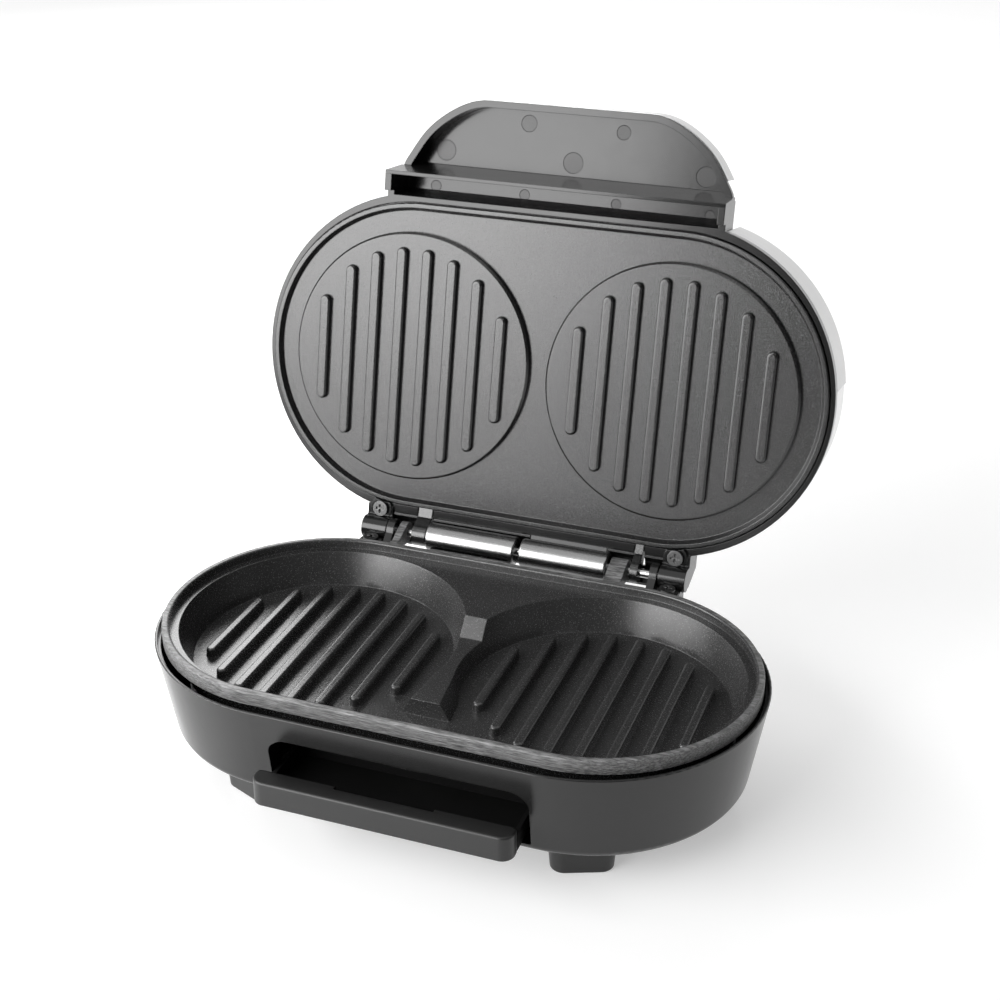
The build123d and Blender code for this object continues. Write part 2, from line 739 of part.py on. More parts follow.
def wire_run(points, radius):
    """Insulated wire through the given points."""
    with BuildPart() as wire:
        with BuildLine() as path:
            Spline(*points)
        route = path.wire()
        with BuildSketch(Plane(origin=route @ 0, z_dir=route % 0)) as section:
            Circle(radius)
        sweep(section.sketch, path=route)
    return wire.part


with BuildPart() as base_wires:
    add(wire_run([(23.5, 49.8, 21.5), (19.5, 56.2, 24.0), (4.0, 57.5, 34.0), (-4.0, 46.0, 37.0)], 1.0))
    right_run = [
        (43.5, 49.8, 21.5),
        (47.0, 54.5, 23.5),
        (58.0, 58.5, 26.0),
        (66.0, 59.5, 29.0),
        (74.0, 55.0, 34.0),
    ]
    add(wire_run(right_run, 1.0))
    add(wire_run([(33.5, 49.8, 21.5), (33.0, 55.0, 24.0), (31.0, 59.0, 27.0), (30.0, 66.0, 29.0)], 1.0))
base_wires.part.move(STAND)
base_wires.part.label = "base_wires"
export_step(base_wires.part, "parts/base_wires.step")

# Hinge: pin, left barrel on the base, screws of the base ears
with BuildPart() as hinge_pin:
    rod_along_x(hinge_y, hinge_z, pin_radius, -74.0, 74.0)
    chamfer(hinge_pin.faces().filter_by(Plane.YZ).edges(), 0.4)
hinge_pin.part.move(STAND)
hinge_pin.part.label = "hinge_pin"
export_step(hinge_pin.part, "parts/hinge_pin.step")

with BuildPart() as base_hinge_barrel:
    rod_along_x(hinge_y, hinge_z, barrel_radius, -44.6, -2.0)
    fillet(base_hinge_barrel.faces().filter_by(Plane.YZ).edges(), 1.0)
    profile_along_x([(70.95, 46.0), (72.15, 53.4), (75.5, 57.0), (82.0, 57.0), (80.0, 53.2)], -42.0, -5.0)
    rod_along_x(hinge_y, hinge_z, pin_radius + running_gap, -50.0, 0.0, mode=Mode.SUBTRACT)
base_hinge_barrel.part.move(STAND)
base_hinge_barrel.part.label = "base_hinge_barrel"
export_step(base_hinge_barrel.part, "parts/base_hinge_barrel.step")

with BuildPart() as base_ear_screws:
    place_screws([Location((x, y, 57.6)) for x, y in both_sides(ear_screw_x, ear_screw_y)], 3.5, 1.6, 1.5, 10.0)
base_ear_screws.part.move(STAND)
base_ear_screws.part.label = "base_ear_screws"
export_step(base_ear_screws.part, "parts/base_ear_screws.step")

# Upper griddle plate: two raised discs with ribs, perimeter ridge, hinge lugs
upper_pillar_places = both_sides(109.0, 0.0) + [(0.0, 54.0), (0.0, -54.0)]
with BuildPart() as upper_plate:
    capsule_block(upper_end_x, upper_plate_radius, ridge_bottom, upper_plate_back)
    ridge_face = upper_plate.faces().filter_by(Plane.XY).sort_by(Axis.Z)[0]
    fillet(ridge_face.edges(), 0.5)
    with BuildSketch(Plane.XY.offset(ridge_bottom)):
        capsule(upper_end_x, ridge_inner)
    with BuildSketch(Plane.XY.offset(upper_plate_face)):
        capsule(upper_end_x, ridge_root)
    loft(mode=Mode.SUBTRACT)
    with BuildSketch(Plane.XY.offset(disc_face)):
        with Locations(*both_sides(bowl_x, 0)):
            Circle(disc_radius)
    extrude(amount=upper_plate_face - disc_face + 1)
    disc_faces = upper_plate.faces().filter_by(Plane.XY).group_by(Axis.Z)[0]
    chamfer(disc_faces.edges(), 0.9)
    with BuildSketch(Plane.XY.offset(upper_plate_back)):
        with Locations(*both_sides(bowl_x, 0)):
            Circle(disc_radius - 5.0)
    extrude(amount=-3.0, mode=Mode.SUBTRACT)
    with BuildSketch(Plane.XY.offset(disc_face + 0.5)):
        rib_slots(upper_rib_halves, upper_rib_width)
    extrude(amount=-(upper_rib_height + 0.5), taper=5)
    rib_tops = upper_plate.faces().filter_by(Plane.XY).group_by(Axis.Z)[0]
    fillet(rib_tops.edges(), 1.0)
    # Bosses on the back for the lid screws and the element straps
    upright_bars(both_sides(109.0, 0.0), 4.0, upper_plate_back - 3.2, 72.5)
    upright_bars([(0.0, 54.0), (0.0, -54.0)], 4.0, upper_plate_back - 1.5, 72.5)
    upright_bars(clamp_places, 3.6, upper_plate_back - 3.2, 70.0)
    upright_bars(upper_pillar_places, 1.55, upper_plate_back - 0.4, 77.0, mode=Mode.SUBTRACT)
    upright_bars(clamp_places, 1.55, upper_plate_back - 2.0, 77.0, mode=Mode.SUBTRACT)
    for x_from, x_to in ((-51.9, -45.2), (51.5, 55.1)):
        profile_along_x(
            [(65.5, 63.8), (65.5, 66.4), (75.0, 66.4), (84.6, 62.2), (77.5, 55.7), (73.2, 62.4)],
            x_from,
            x_to,
        )
        rod_along_x(hinge_y, hinge_z, 4.9, x_from, x_to)
        rod_along_x(hinge_y, hinge_z, pin_radius + running_gap, x_from - 1, x_to + 1, mode=Mode.SUBTRACT)
upper_plate.part.move(LID_OPEN)
upper_plate.part.label = "upper_plate"
export_step(upper_plate.part, "parts/upper_plate.step")


# Right half of the handle's outer edge: place and direction of its outward normal in degrees
handle_curve = [
    (50.2, -111.3, -68.0),
    (59.5, -105.2, -52.0),
    (67.0, -97.5, -38.0),
    (72.6, -88.7, -26.0),
    (handle_half, -75.0, 0.0),
]


def handle_outline(inset):
    """Outline of the handle seen from above, drawn inside its outer edge by inset."""
    points = []
    for x, y, angle in handle_curve:
        points.append((x - inset * cos(radians(angle)), y - inset * sin(radians(angle))))
    root = handle_half - inset
    with BuildLine() as rim:
        tip = Line((-36.0, handle_front + inset), (36.0, handle_front + inset))
        right = Spline(tip @ 1, *points, tangents=[(1, 0), (0, 1)])
        left = Spline(tip @ 0, *[(-x, y) for x, y in points], tangents=[(-1, 0), (0, 1)])
        Line(right @ 1, (root, -60.0))
        Line((root, -60.0), (-root, -60.0))
        Line((-root, -60.0), left @ 1)
    make_face(rim.edges())


# Curved skirt behind the hinge barrels, part of the lid housing
with BuildPart() as hinge_skirt:
    with BuildSketch(Plane.YZ.offset(-skirt_half)) as skirt_outline:
        with BuildLine() as skirt_rim:
            outer = CenterArc((hinge_y, hinge_z), skirt_outer, skirt_start, skirt_sweep)
            inner = CenterArc((hinge_y, hinge_z), skirt_inner, skirt_start, skirt_sweep)
            Line(outer @ 0, inner @ 0)
            Line(outer @ 1, inner @ 1)
        make_face(skirt_rim.edges())
    extrude(skirt_outline.sketch, amount=2 * skirt_half)
    profile_along_x(
        [(72.5, 63.2), (72.5, skirt_web_top), (74.5, skirt_web_top), (74.5, 63.4)], -skirt_half, skirt_half
    )

# Hollow of the handle, open downwards, its back side leaning like the bar
with BuildPart() as handle_hollow:
    with BuildSketch(Plane.XY.offset(handle_rim - 1)) as hollow:
        handle_outline(hollow_inset)
    extrude(hollow.sketch, amount=handle_floor - handle_rim + 1)
    profile_along_x(
        [
            (bar_front, bar_bottom),
            (bar_ramp_top, handle_floor),
            (bar_ramp_top, handle_floor + 1),
            (-50.0, handle_floor + 1),
            (-50.0, bar_bottom),
        ],
        -handle_half,
        handle_half,
        mode=Mode.SUBTRACT,
    )

# Lid housing: black lower frame of the lid with the hollow handle, front bar and hinge ears
bar_lean = (bar_ramp_top - bar_front) / (handle_floor - bar_bottom)
root_top = handle_rim + 0.1
with BuildPart() as lid_housing:
    # Handle body down to its rim
    with BuildSketch(Plane.XY.offset(handle_rim)) as handle_body:
        handle_outline(cover_wall + 0.3)
    extrude(handle_body.sketch, amount=handle_top - cover_wall - 0.3 - handle_rim)
    # Lip that the cover stands on, flush with its outside
    with BuildSketch(Plane.XY.offset(handle_rim)) as handle_lip:
        handle_outline(lip_inset)
    extrude(handle_lip.sketch, amount=lip_top - handle_rim)
    add(handle_hollow.part, mode=Mode.SUBTRACT)
    # Root block behind the bar, wider below the seam of the cover
    with BuildSketch(Plane.XY.offset(lid_rim_bottom)) as root_block:
        with Locations((0, (bar_front - 60.0) / 2)):
            Rectangle(2 * handle_half, -60.0 - bar_front)
    extrude(root_block.sketch, amount=lip_top - 0.1 - lid_rim_bottom)
    with BuildSketch(Plane.XY.offset(handle_rim - 1)) as root_neck:
        with Locations((0, (bar_back - 60.0) / 2)):
            Rectangle(2 * (handle_half - cover_wall - 0.3), -60.0 - bar_back)
    extrude(root_neck.sketch, amount=5.0)
    with BuildSketch(Plane.XY.offset(bar_bottom)) as root_sides:
        with Locations((0, (bar_front - 73.3) / 2)):
            Rectangle(2 * bar_half, -73.3 - bar_front)
    extrude(root_sides.sketch, amount=lid_rim_bottom - bar_bottom)
    # Front bar: crowned lower edge, front face leaning out to the handle floor
    with BuildSketch(Plane.XZ.offset(-bar_back)) as bar_face:
        with BuildLine() as bar_rim:
            crown = ThreePointArc((-bar_half, bar_bottom), (0, bar_crown), (bar_half, bar_bottom))
            Line(crown @ 1, crown @ 0)
        make_face(bar_rim.edges())
    extrude(bar_face.sketch, amount=bar_back - bar_front)
    profile_along_x(
        [
            (bar_front, bar_bottom),
            (bar_front + bar_lean * (root_top - bar_bottom), root_top),
            (bar_back - 0.5, root_top),
            (bar_back - 0.5, bar_bottom),
        ],
        -bar_half,
        bar_half,
    )
    # Rim frame of the lid
    capsule_block(lid_end_x, lid_radius, lid_rim_bottom, lid_rim_top)
    capsule_block(lid_end_x, 70.4, lid_rim_top, 72.5)
    # Channel behind the bar, its back wall leaning back
    profile_along_x(
        [
            (bar_back, bar_crown - 1),
            (bar_back, channel_roof),
            (channel_back, channel_roof),
            (channel_back + 2.3, lid_rim_bottom),
            (channel_back + 2.3, bar_crown - 1),
        ],
        -channel_half,
        channel_half,
        mode=Mode.SUBTRACT,
    )
    add(hinge_skirt.part)
    # Ears
    upright_bars(both_sides(ear_screw_x, ear_screw_y), 5.2, 61.5, 76.0)
    for side in SIDES:
        low_x, high_x = sorted((side * 64.5, side * 76.6))
        profile_along_x(
            [(70.4, 61.8), (70.4, 76.0), (79.0, 76.0), (85.0, 64.0), (84.8, 57.0), (76.4, 57.0), (75.2, 61.8)],
            low_x,
            high_x,
        )
        rod_along_x(hinge_y, hinge_z, 5.2, low_x, high_x)
    rod_along_x(hinge_y, hinge_z, pin_radius + running_gap, -74.2, 74.2, mode=Mode.SUBTRACT)
    upright_bars(both_sides(ear_screw_x, ear_screw_y), 1.55, 60.0, 73.0, mode=Mode.SUBTRACT)
    # Room for the plate, then for the shield above it
    capsule_block(upper_end_x, lid_rim_inner, lid_rim_bottom - 5, upper_plate_back + 0.5, mode=Mode.SUBTRACT)
    capsule_block(lid_end_x, 68.4, lid_rim_bottom, handle_top + 5, mode=Mode.SUBTRACT)
    capsule_block(lid_end_x, 70.6, 72.5, handle_top + 5, mode=Mode.SUBTRACT)
    # Notches where the plate's hinge lugs and the barrel bracket pass
    lug_notch = [(66.0, 60.0), (66.0, 67.0), (73.1, 67.0), (73.1, 69.5), (79.5, 69.5), (79.5, 60.0)]
    for x_from, x_to in ((-52.4, -44.7), (51.0, 55.6)):
        profile_along_x(lug_notch, x_from, x_to, mode=Mode.SUBTRACT)
    profile_along_x([(73.0, 60.0), (73.0, 69.5), (79.5, 69.5), (79.5, 60.0)], 2.6, 38.9, mode=Mode.SUBTRACT)
lid_housing.part.move(LID_OPEN)
lid_housing.part.label = "lid_housing"
export_step(lid_housing.part, "parts/lid_housing.step")


def dome(inset, root_front, root_low, low):
    """Lid shell body from height low: capsule dome with the handle, shrunk by inset."""
    handle_low = cover_low - inset * 2
    with BuildPart() as body:
        with BuildSketch(Plane.XY.offset(root_low)) as root:
            with Locations((0, (root_front - 58.0) / 2)):
                Rectangle(2 * (handle_half - inset), -58.0 - root_front)
        extrude(root.sketch, amount=handle_top - inset - root_low)
        with BuildSketch(Plane.XY.offset(handle_low)) as handle:
            handle_outline(inset)
        extrude(handle.sketch, amount=handle_top - inset - handle_low)
        with BuildSketch(Plane.XY.offset(low)) as shell:
            capsule(lid_end_x, lid_radius - inset)
        extrude(shell.sketch, amount=lid_top - inset - low)
        top_face = body.faces().filter_by(Plane.XY).sort_by(Axis.Z)[-1]
        fillet(top_face.edges(), 4.9 - inset)
    return body.part


seam_gap = 0.2
rear_step = 0.8
inner_dome = dome(cover_wall, -86.0, cover_bottom - 2.0, cover_bottom - 2.0)

# Front cover of the lid: handle skin and the front of the shell
lens_places = [(-9.0, -56.0), (9.0, -56.0)]
with BuildPart() as lid_cover_front:
    add(dome(0.0, bar_front, cover_low, cover_bottom))
    add(inner_dome, mode=Mode.SUBTRACT)
    # Room for the root block of the housing
    with BuildSketch(Plane.XY.offset(cover_bottom - 1)) as root_room:
        with Locations((0, -77.5)):
            Rectangle(2 * handle_half + 0.6, 25.0)
    extrude(root_room.sketch, amount=cover_low - cover_bottom + 1, mode=Mode.SUBTRACT)
    with BuildSketch(Plane.XY.offset(50.0)):
        with Locations((0, cover_seam - seam_gap / 2 + 100.0)):
            Rectangle(400.0, 200.0)
    extrude(amount=60.0, mode=Mode.SUBTRACT)
    upright_bars([(-21.0, -56.0), (21.0, -56.0)], 3.0, 84.2, lid_top - 1.0)
    upright_bars([(-21.0, -56.0), (21.0, -56.0)], 1.25, 80.0, 92.0, mode=Mode.SUBTRACT)
    upright_bars(lens_places, 3.7, 90.0, 100.0, mode=Mode.SUBTRACT)
lid_cover_front.part.move(LID_OPEN)
lid_cover_front.part.label = "lid_cover_front"
export_step(lid_cover_front.part, "parts/lid_cover_front.step")

# Rear cover of the lid, a little lower than the front one, notched for the ears
with BuildPart() as lid_cover_rear:
    add(dome(rear_step, bar_front, cover_low, cover_bottom))
    add(inner_dome, mode=Mode.SUBTRACT)
    with BuildSketch(Plane.XY.offset(50.0)):
        with Locations((0, cover_seam + seam_gap / 2 - 100.0)):
            Rectangle(400.0, 200.0)
    extrude(amount=60.0, mode=Mode.SUBTRACT)
    with BuildSketch(Plane.XY.offset(50.0)):
        with Locations(*both_sides(70.6, 76.0)):
            Rectangle(13.2, 20.0)
    extrude(amount=26.8, mode=Mode.SUBTRACT)
lid_cover_rear.part.move(LID_OPEN)
lid_cover_rear.part.label = "lid_cover_rear"
export_step(lid_cover_rear.part, "parts/lid_cover_rear.step")

# Indicator lenses, their lamps and the lamp carrier under the lid
with BuildPart() as power_lens:
    upright_bars(lens_places[:1], 3.6, lid_top - cover_wall - 1.0, lid_top + 0.8)
    fillet(power_lens.faces().sort_by(Axis.Z)[-1].edges(), 0.7)
    upright_bars(lens_places[:1], 4.6, lid_top - cover_wall - 1.2, lid_top - cover_wall - 0.1)
power_lens.part.move(LID_OPEN)
power_lens.part.label = "power_lens"
export_step(power_lens.part, "parts/power_lens.step")

with BuildPart() as ready_lens:
    upright_bars(lens_places[1:], 3.6, lid_top - cover_wall - 1.0, lid_top + 0.8)
    fillet(ready_lens.faces().sort_by(Axis.Z)[-1].edges(), 0.7)
    upright_bars(lens_places[1:], 4.6, lid_top - cover_wall - 1.2, lid_top - cover_wall - 0.1)
ready_lens.part.move(LID_OPEN)
ready_lens.part.label = "ready_lens"
export_step(ready_lens.part, "parts/ready_lens.step")

with BuildPart() as lamp_carrier:
    with BuildSketch(Plane.XY.offset(82.4)):
        with Locations((0, -56.0)):
            RectangleRounded(50.0, 10.0, 2.0)
    extrude(amount=1.7)
    upright_bars([(-21.0, -56.0), (21.0, -56.0)], 1.5, 80.0, 90.0, mode=Mode.SUBTRACT)
lamp_carrier.part.move(LID_OPEN)
lamp_carrier.part.label = "lamp_carrier"
export_step(lamp_carrier.part, "parts/lamp_carrier.step")

with BuildPart() as indicator_lamps:
    upright_bars(lens_places, 2.2, 84.2, 92.0)
    fillet(indicator_lamps.faces().filter_by(Plane.XY).group_by(Axis.Z)[-1].edges(), 1.6)
indicator_lamps.part.move(LID_OPEN)
indicator_lamps.part.label = "indicator_lamps"
export_step(indicator_lamps.part, "parts/indicator_lamps.step")

with BuildPart() as lamp_carrier_screws:
    place_screws([Location((x, -56.0, 82.4), (180, 0, 0)) for x in (-21.0, 21.0)], 2.4, 1.3, 1.2, 8.0)
lamp_carrier_screws.part.move(LID_OPEN)
lamp_carrier_screws.part.label = "lamp_carrier_screws"
export_step(lamp_carrier_screws.part, "parts/lamp_carrier_screws.step")

# Upper elements with straps and screws
upper_element_height = upper_plate_back - 3.0 + element_radius + 0.1
with BuildPart() as upper_left_element:
    add(ring_element(-bowl_x, upper_element_height))
upper_left_element.part.move(LID_OPEN)
upper_left_element.part.label = "upper_left_element"
export_step(upper_left_element.part, "parts/upper_left_element.step")

with BuildPart() as upper_right_element:
    add(ring_element(bowl_x, upper_element_height))
upper_right_element.part.move(LID_OPEN)
upper_right_element.part.label = "upper_right_element"
export_step(upper_right_element.part, "parts/upper_right_element.step")

upper_strap_z = upper_element_height + element_radius + 0.05
with BuildPart() as upper_element_straps:
    with BuildSketch(Plane.XY.offset(upper_strap_z)):
        for side in SIDES:
            with Locations((side * 28.5, 0), (side * 91.5, 0)):
                RectangleRounded(19.0, 10.0, 2.0)
    extrude(amount=strap_height)
    upright_bars(clamp_places, 1.65, 60.0, 80.0, mode=Mode.SUBTRACT)
upper_element_straps.part.move(LID_OPEN)
upper_element_straps.part.label = "upper_element_straps"
export_step(upper_element_straps.part, "parts/upper_element_straps.step")

with BuildPart() as upper_strap_screws:
    place_screws([Location((x, y, upper_strap_z + strap_height)) for x, y in clamp_places], 2.7, 1.0, 1.5, 6.0)
upper_strap_screws.part.move(LID_OPEN)
upper_strap_screws.part.label = "upper_strap_screws"
export_step(upper_strap_screws.part, "parts/upper_strap_screws.step")

# Heat shield over the upper elements, resting on the rim of the lid housing
shield_bottom = 72.6
shield_thickness = 0.5
with BuildPart() as upper_heat_shield:
    capsule_block(lid_end_x, 70.2, shield_bottom, shield_bottom + shield_thickness)
    with BuildSketch(Plane.XY.offset(shield_bottom - 1)):
        with GridLocations(16.0, 70.0, 5, 2):
            SlotOverall(14.0, 3.0, rotation=90)
    extrude(amount=4, mode=Mode.SUBTRACT)
    upright_bars(upper_pillar_places, 1.7, 70.0, 80.0, mode=Mode.SUBTRACT)
upper_heat_shield.part.move(LID_OPEN)
upper_heat_shield.part.label = "upper_heat_shield"
export_step(upper_heat_shield.part, "parts/upper_heat_shield.step")

with BuildPart() as upper_plate_screws:
    place_screws(
        [Location((x, y, shield_bottom + shield_thickness)) for x, y in upper_pillar_places], 2.9, 1.6, 1.5, 6.3
    )
upper_plate_screws.part.move(LID_OPEN)
upper_plate_screws.part.label = "upper_plate_screws"
export_step(upper_plate_screws.part, "parts/upper_plate_screws.step")

with BuildPart() as lid_wires:
    across_lid = [
        (-56.0, 42.5, 68.0),
        (-36.0, 47.0, 70.5),
        (-12.0, 44.0, 70.5),
        (14.0, 45.0, 70.5),
        (56.0, 42.5, 68.0),
    ]
    add(wire_run(across_lid, 1.0))
    add(wire_run([(-9.0, -54.0, 81.0), (-11.0, -48.0, 78.5), (-10.0, 0.0, 77.5), (-4.0, 46.0, 77.0)], 1.0))
    add(wire_run([(9.0, -54.0, 81.0), (11.0, -48.0, 78.5), (10.0, 0.0, 77.5), (4.0, 46.0, 77.0)], 1.0))
lid_wires.part.move(LID_OPEN)
lid_wires.part.label = "lid_wires"
export_step(lid_wires.part, "parts/lid_wires.step")

# Hinge barrel of the lid and the screws of the lid ears
with BuildPart() as lid_hinge_barrel:
    rod_along_x(hinge_y, hinge_z, barrel_radius, 0.4, 41.0)
    fillet(lid_hinge_barrel.faces().filter_by(Plane.YZ).edges(), 1.0)
    profile_along_x([(73.05, 63.2), (73.05, 67.3), (77.0, 67.3), (84.0, 64.0), (80.7, 60.0)], 3.0, 38.5)
    rod_along_x(hinge_y, hinge_z, pin_radius + running_gap, -1.0, 45.0, mode=Mode.SUBTRACT)
lid_hinge_barrel.part.move(LID_OPEN)
lid_hinge_barrel.part.label = "lid_hinge_barrel"
export_step(lid_hinge_barrel.part, "parts/lid_hinge_barrel.step")

with BuildPart() as lid_ear_screws:
    place_screws(
        [Location((x, y, 61.5), (180, 0, 0)) for x, y in both_sides(ear_screw_x, ear_screw_y)], 3.5, 1.6, 1.5, 10.0
    )
lid_ear_screws.part.move(LID_OPEN)
lid_ear_screws.part.label = "lid_ear_screws"
export_step(lid_ear_screws.part, "parts/lid_ear_screws.step")
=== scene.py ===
# %% [markdown]
# # An electric burger maker, dressed in Blender
#
# The solids of this cooker come ready made: two griddle plates, two housings, a drip tray,
# the hinge and all the pieces inside. They are loaded as a frame, in metres, with the lid open.
# This lesson gives them their finishes, adds the small moulded marks that the solids leave out,
# and builds a plain white studio round them.

# %% The frame
import math

import bpy
import numpy as np
from mathutils import Matrix, Vector

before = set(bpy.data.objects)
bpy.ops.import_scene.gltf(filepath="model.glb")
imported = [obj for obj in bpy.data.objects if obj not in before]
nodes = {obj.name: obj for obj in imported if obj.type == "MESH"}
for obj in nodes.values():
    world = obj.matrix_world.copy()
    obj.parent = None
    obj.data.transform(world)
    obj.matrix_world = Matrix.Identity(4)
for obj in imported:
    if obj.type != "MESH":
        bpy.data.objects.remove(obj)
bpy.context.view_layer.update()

# %% [markdown]
# ## The camera
#
# The photograph looks down on the cooker from the right. A product shot like this one is taken
# with a long lens from about two thirds of a metre. The direction is given as an azimuth and an
# elevation, as a surveyor would, and the lens is a plain one with no shift and no blur.

# %% The camera
AZIMUTH = math.radians(20.002)
ELEVATION = math.radians(26.409)
ROLL = math.radians(0.135)
CAMERA_PLACE = Vector((0.21515, -0.57321, 0.41113))

back = Vector((
    math.sin(AZIMUTH) * math.cos(ELEVATION),
    -math.cos(AZIMUTH) * math.cos(ELEVATION),
    math.sin(ELEVATION),
))
level = Vector((math.cos(AZIMUTH), math.sin(AZIMUTH), 0.0))
rise = back.cross(level)
right = math.cos(ROLL) * level + math.sin(ROLL) * rise
up = math.cos(ROLL) * rise - math.sin(ROLL) * level

camera_data = bpy.data.cameras.new("camera")
camera_data.lens = 59.45
camera_data.sensor_width = 36.0
camera_data.clip_start = 0.01
camera = bpy.data.objects.new("camera", camera_data)
bpy.context.scene.collection.objects.link(camera)
camera.matrix_world = Matrix((
    (right.x, up.x, back.x, CAMERA_PLACE.x),
    (right.y, up.y, back.y, CAMERA_PLACE.y),
    (right.z, up.z, back.z, CAMERA_PLACE.z),
    (0.0, 0.0, 0.0, 1.0),
))
bpy.context.scene.camera = camera
bpy.context.scene.view_settings.view_transform = "Standard"
print("camera looks along", tuple(round(c, 3) for c in -back))

# %% [markdown]
# ## Shader sums written as Python
#
# A finish is a network of nodes. Drawn by hand it fills the screen; written node by node it fills
# pages. Here a small class holds one socket, and +, - and * on it add Math nodes, so that a mask
# reads like a formula. One method makes every other node: its settings first, then the values or
# links of its sockets.

# %% Sheets of nodes
class Wire:
    """One socket that sends a value. Sums of wires and numbers add Math nodes."""

    def __init__(self, sheet, socket):
        self.sheet = sheet
        self.socket = socket

    def math(self, operation, *values):
        return self.sheet.node("Math", {"operation": operation}, dict(enumerate(values)))

    def __add__(self, other):
        return self.math("ADD", self, other)

    __radd__ = __add__

    def __sub__(self, other):
        return self.math("SUBTRACT", self, other)

    def __rsub__(self, other):
        return self.math("SUBTRACT", other, self)

    def __mul__(self, other):
        return self.math("MULTIPLY", self, other)

    __rmul__ = __mul__

    def size(self):
        """The value without its sign."""
        return self.math("ABSOLUTE", self)

    def root(self):
        return self.math("SQRT", self)

    def larger(self, other):
        return self.math("MAXIMUM", self, other)

    def rises(self, low, high):
        """0 below low, 1 above high, and an S-shaped climb between; falls where low > high."""
        values = {"Value": self, "From Min": low, "From Max": high}
        return self.sheet.node("MapRange", {"interpolation_type": "SMOOTHSTEP"}, values)

    def other(self, name):
        """Another output of the same node."""
        return Wire(self.sheet, self.socket.node.outputs[name])


class Sheet:
    """A node tree that is being filled."""

    def __init__(self, tree):
        self.tree = tree
        tree.nodes.clear()

    def node(self, kind, settings=None, values=None, output=0):
        """Adds a node of this kind: settings first, then values or links of its sockets."""
        made = self.tree.nodes.new("ShaderNode" + kind)
        for name, value in (settings or {}).items():
            setattr(made, name, value)
        for name, value in (values or {}).items():
            if isinstance(value, Wire):
                self.tree.links.new(value.socket, made.inputs[name])
            else:
                made.inputs[name].default_value = value
        return Wire(self, made.outputs[output]) if made.outputs else made

    def tone(self, value):
        """The same number in red, green and blue: this cooker is grey all over."""
        return self.node("CombineColor", values={"Red": value, "Green": value, "Blue": value})

    def grain(self, place, size, detail=2.0, roughness=0.5):
        """Cloudy noise from 0 to 1 whose lumps are about size metres wide."""
        values = {"Vector": place, "Scale": 1.0 / size, "Detail": detail, "Roughness": roughness}
        return self.node("TexNoise", values=values)

    def stretched(self, place, by):
        """Coordinates squeezed along some axes, which draws a pattern out along the others."""
        return self.node("VectorMath", {"operation": "MULTIPLY"}, {0: place, 1: by})


print("sheet ready")

# %% [markdown]
# ## Where a pattern sits
#
# Patterns read Object coordinates, which are metres in the shared frame with the cooker at rest.
# The lid is at rest when it is open, so its patterns turn the coordinates back round the hinge:
# then "towards the handle" is a straight line on the lid as well. The turn is a fixed number and
# has nothing to do with the pose, because Object coordinates travel with the lid.

# %% Coordinates on the base and on the lid
HINGE = (0.0, 0.046, 0.0595)
LID_SWING = math.radians(101.9)
GRIDDLE_Y = -0.0347
BOWL_X = 0.060


def on_base(sheet):
    """Metres from the middle of the griddles, x to the right and y to the back."""
    place = sheet.node("TexCoord").other("Object")
    return sheet.node("VectorMath", {"operation": "SUBTRACT"}, {0: place, 1: (0.0, GRIDDLE_Y, 0.0)})


def on_lid(sheet):
    """The same on the lid, as if it were shut."""
    place = sheet.node("TexCoord").other("Object")
    values = {"Vector": place, "Center": HINGE, "Angle": LID_SWING}
    shut = sheet.node("VectorRotate", {"rotation_type": "X_AXIS"}, values)
    return sheet.node("VectorMath", {"operation": "SUBTRACT"}, {0: shut, 1: (0.0, GRIDDLE_Y, 0.0)})


def split(sheet, place):
    """The three numbers of a place."""
    parts = sheet.node("SeparateXYZ", values={0: place})
    return parts, parts.other("Y"), parts.other("Z")


def capsule_distance(sheet, x, y):
    """Distance from the line that joins the two bowl centres: it is the same all along a rim.
    Past the ends it is the length of (|x| - bowl x, y), between them simply |y|."""
    beyond = (x.size() - BOWL_X).larger(0.0)
    return (beyond * beyond + y * y).root()


print("hinge at", HINGE, "swing", round(math.degrees(LID_SWING), 1))

# %% [markdown]
# ## One way to make a surface
#
# Every finish ends in the same shader, Principled BSDF. Its Normal comes from a Bump node, whose
# own normal comes from a Bevel node: moulded and cast edges are never sharp, and the Bevel node
# rounds them for the light without touching the mesh. Numbers that are the same all over are set
# on the shader itself, so that they survive an export.

# %% The surface maker
def surface(name, paint):
    """A material. paint(sheet) returns the shader's sockets, with Height and Edge for the bump."""
    material = bpy.data.materials.new(name)
    material.use_nodes = True
    sheet = Sheet(material.node_tree)
    sockets = paint(sheet)
    height = sockets.pop("Height", None)
    edge = sockets.pop("Edge", 0.0004)
    rounded = sheet.node("Bevel", {"samples": 4}, {"Radius": edge})
    if height is not None:
        rounded = sheet.node("Bump", values={"Distance": 0.001, "Height": height, "Normal": rounded})
    sockets["Normal"] = rounded
    shader = sheet.node("BsdfPrincipled", values=sockets)
    sheet.node("OutputMaterial", values={"Surface": shader})
    return material


def dress(material, *names):
    """Gives the material to CAD nodes."""
    for name in names:
        slots = nodes[name].data.materials
        slots.clear()
        slots.append(material)
    print(material.name, "on", len(names), "pieces")


def dress_faces(material, name, chosen):
    """Gives a second material to the faces whose middles (x, y, z) are chosen."""
    mesh = nodes[name].data
    middles = np.empty(3 * len(mesh.polygons))
    mesh.polygons.foreach_get("center", middles)
    x, y, z = middles.reshape(-1, 3).T
    mesh.materials.append(material)
    picked = chosen(x, y, z)
    mesh.polygons.foreach_set("material_index", picked.astype(np.int32) * (len(mesh.materials) - 1))
    print(material.name, "on", int(picked.sum()), "faces of", name)


